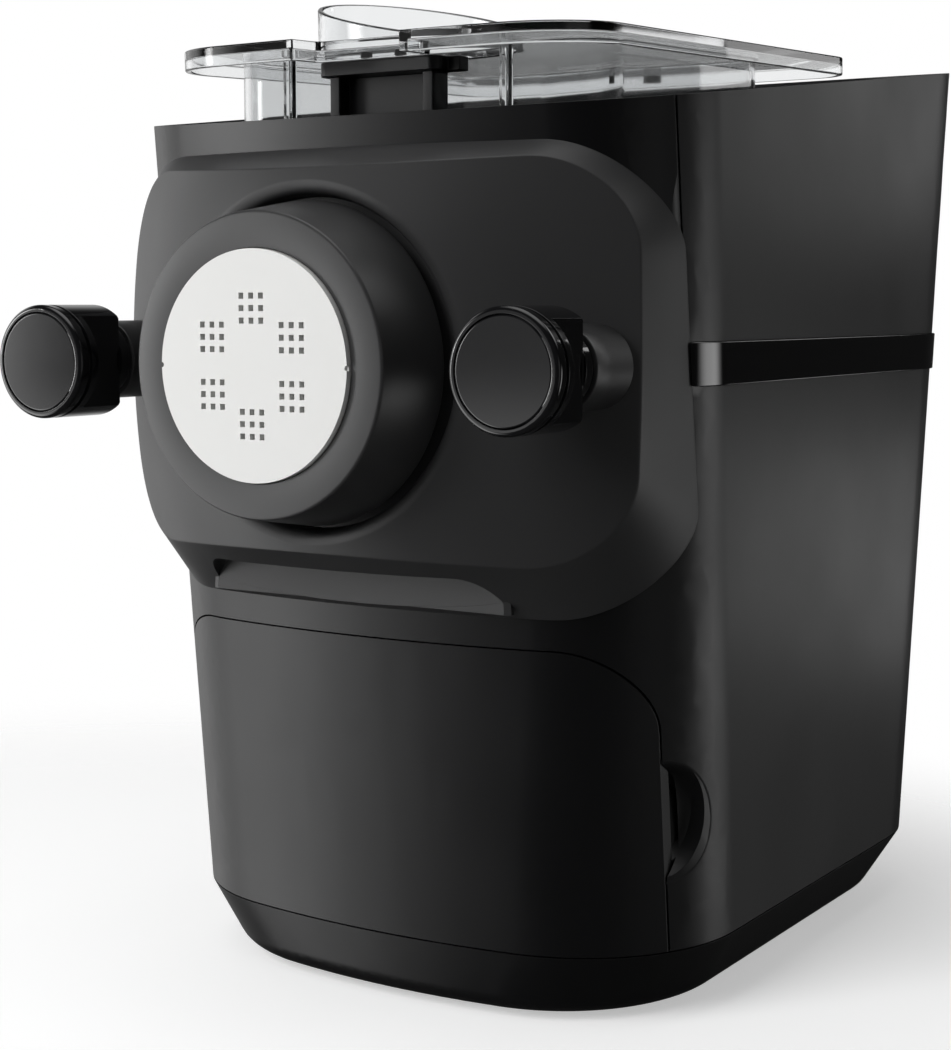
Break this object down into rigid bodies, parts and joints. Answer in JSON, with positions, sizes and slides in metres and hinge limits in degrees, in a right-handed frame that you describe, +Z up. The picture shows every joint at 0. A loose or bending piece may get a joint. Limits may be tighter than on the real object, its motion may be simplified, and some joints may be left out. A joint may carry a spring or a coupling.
{
  "type": "electric pasta maker",
  "caption": "Countertop electric pasta maker: tall rounded body, domed front panel with a shaping disc in a round nut, two locking knobs, clear chamber and lid, drawer below.",
  "frame": {"origin": "on the worktop, under the middle of the machine's bounding box", "axes": "+Z up, -Y towards the front with the shaping disc, +X to the machine's left hand, which is the right-hand side for a person facing the front"},
  "size_m": [0.242, 0.3908, 0.3814],
  "materials": {
    "shell_black": "satin black",
    "panel_grey": "fine matte dark grey",
    "gloss_black": "gloss black",
    "disc_white": "satin white",
    "clear_plastic": "clear",
    "control_black": "gloss black",
    "inner_grey": "matt",
    "paddle_white": "satin",
    "foot_rubber": "matt",
    "seal_rubber": "matt",
    "gear_steel": "machined",
    "screw_steel": "bright",
    "motor_steel": "zinc plated",
    "gearbox_alloy": "cast",
    "cell_alloy": "milled",
    "bush_bronze": "sintered",
    "magnet_black": "ferrite",
    "board_green": "circuit board"
  },
  "bodies": {
    "machine": {"base_tray": "shell_black", "feet": "foot_rubber", "load_cells": "cell_alloy", "base_screws": "screw_steel", "body_shell": "shell_black", "front_frame": "shell_black", "side_band": "gloss_black", "inner_chassis": "inner_grey", "drawer_housing": "inner_grey", "drawer_rails": "inner_grey", "extrusion_tube": "paddle_white", "chamber_seal": "seal_rubber", "mixing_chamber": "clear_plastic", "chamber_handle": "shell_black", "shaft_seal": "seal_rubber", "lid_sensor": "inner_grey", "top_deck": "shell_black", "control_glass": "control_black", "control_board": "board_green", "idler_pin": "gear_steel", "gearbox_housing": "gearbox_alloy", "gearbox_cover": "gearbox_alloy", "gearbox_screws": "screw_steel", "output_bushes": "bush_bronze", "motor_can": "motor_steel", "motor_end_cap": "inner_grey", "motor_bushes": "bush_bronze", "motor_magnets": "magnet_black", "power_inlet": "inner_grey", "power_board": "board_green"},
    "drawer": {"drawer_front": "shell_black", "drawer_tray": "inner_grey"},
    "lid": {"lid": "clear_plastic", "lid_magnet": "magnet_black"},
    "front_panel": {"front_panel": "panel_grey"},
    "disc": {"shaping_disc": "disc_white", "disc_seal": "seal_rubber"},
    "nut": {"extrusion_nut": "panel_grey"},
    "left_knob": {"left_knob": "gloss_black", "left_knob_cap": "gloss_black", "left_knob_stem": "gloss_black"},
    "right_knob": {"right_knob": "gloss_black", "right_knob_cap": "gloss_black", "right_knob_stem": "gloss_black"},
    "drive": {"drive_shaft": "gear_steel", "output_gear": "gear_steel", "mixing_paddle": "paddle_white", "extrusion_screw": "paddle_white"},
    "idler": {"idler_gear": "gear_steel"},
    "rotor": {"rotor": "motor_steel", "motor_pinion": "gear_steel"},
    "minus_button": {"minus_button": "gloss_black"},
    "power_button": {"power_button": "gloss_black"},
    "start_button": {"start_button": "gloss_black"},
    "plus_button": {"plus_button": "gloss_black"}
  },
  "joints": [
    {"name": "drawer_slide", "type": "slide", "parent": "machine", "child": "drawer", "axis": [0, -1, 0], "range_m": [0, 0.15]},
    {"name": "lid_lift", "type": "slide", "parent": "machine", "child": "lid", "axis": [0, 0, 1], "range_m": [0, 0.08]},
    {"name": "panel_pull", "type": "slide", "parent": "machine", "child": "front_panel", "axis": [0, -1, 0], "range_m": [0, 0.06]},
    {"name": "disc_pull", "type": "slide", "parent": "front_panel", "child": "disc", "axis": [0, -1, 0], "range_m": [0, 0.05]},
    {"name": "nut_turn", "type": "hinge", "parent": "disc", "child": "nut", "pos_m": [0, -0.19, 0.242], "axis": [0, -1, 0], "range_deg": [0, 360]},
    {"name": "left_knob_turn", "type": "hinge", "parent": "front_panel", "child": "left_knob", "pos_m": [-0.0987, -0.18, 0.242], "axis": [0, -1, 0], "range_deg": [-90, 0]},
    {"name": "right_knob_turn", "type": "hinge", "parent": "front_panel", "child": "right_knob", "pos_m": [0.0987, -0.18, 0.242], "axis": [0, -1, 0], "range_deg": [0, 90]},
    {"name": "paddle_turn", "type": "hinge", "parent": "machine", "child": "drive", "pos_m": [0, 0, 0.242], "axis": [0, -1, 0], "continuous": true},
    {"name": "idler_turn", "type": "hinge", "parent": "machine", "child": "idler", "pos_m": [0, 0.07, 0.18075], "axis": [0, -1, 0], "continuous": true},
    {"name": "motor_turn", "type": "hinge", "parent": "machine", "child": "rotor", "pos_m": [0.02893, 0.1, 0.14628], "axis": [0, -1, 0], "continuous": true},
    {"name": "minus_press", "type": "slide", "parent": "machine", "child": "minus_button", "axis": [0, 0.1184, -0.993], "range_m": [0, 0.0012], "stiffness_N_per_m": 300, "springref_m": -0.001},
    {"name": "power_press", "type": "slide", "parent": "machine", "child": "power_button", "axis": [0, 0.1184, -0.993], "range_m": [0, 0.0012], "stiffness_N_per_m": 300, "springref_m": -0.001},
    {"name": "start_press", "type": "slide", "parent": "machine", "child": "start_button", "axis": [0, 0.1184, -0.993], "range_m": [0, 0.0012], "stiffness_N_per_m": 300, "springref_m": -0.001},
    {"name": "plus_press", "type": "slide", "parent": "machine", "child": "plus_button", "axis": [0, 0.1184, -0.993], "range_m": [0, 0.0012], "stiffness_N_per_m": 300, "springref_m": -0.001}
  ],
  "couplings": [
    {"joint": "idler_turn", "follows": "paddle_turn", "ratio": -4},
    {"joint": "motor_turn", "follows": "paddle_turn", "ratio": 20}
  ]
}
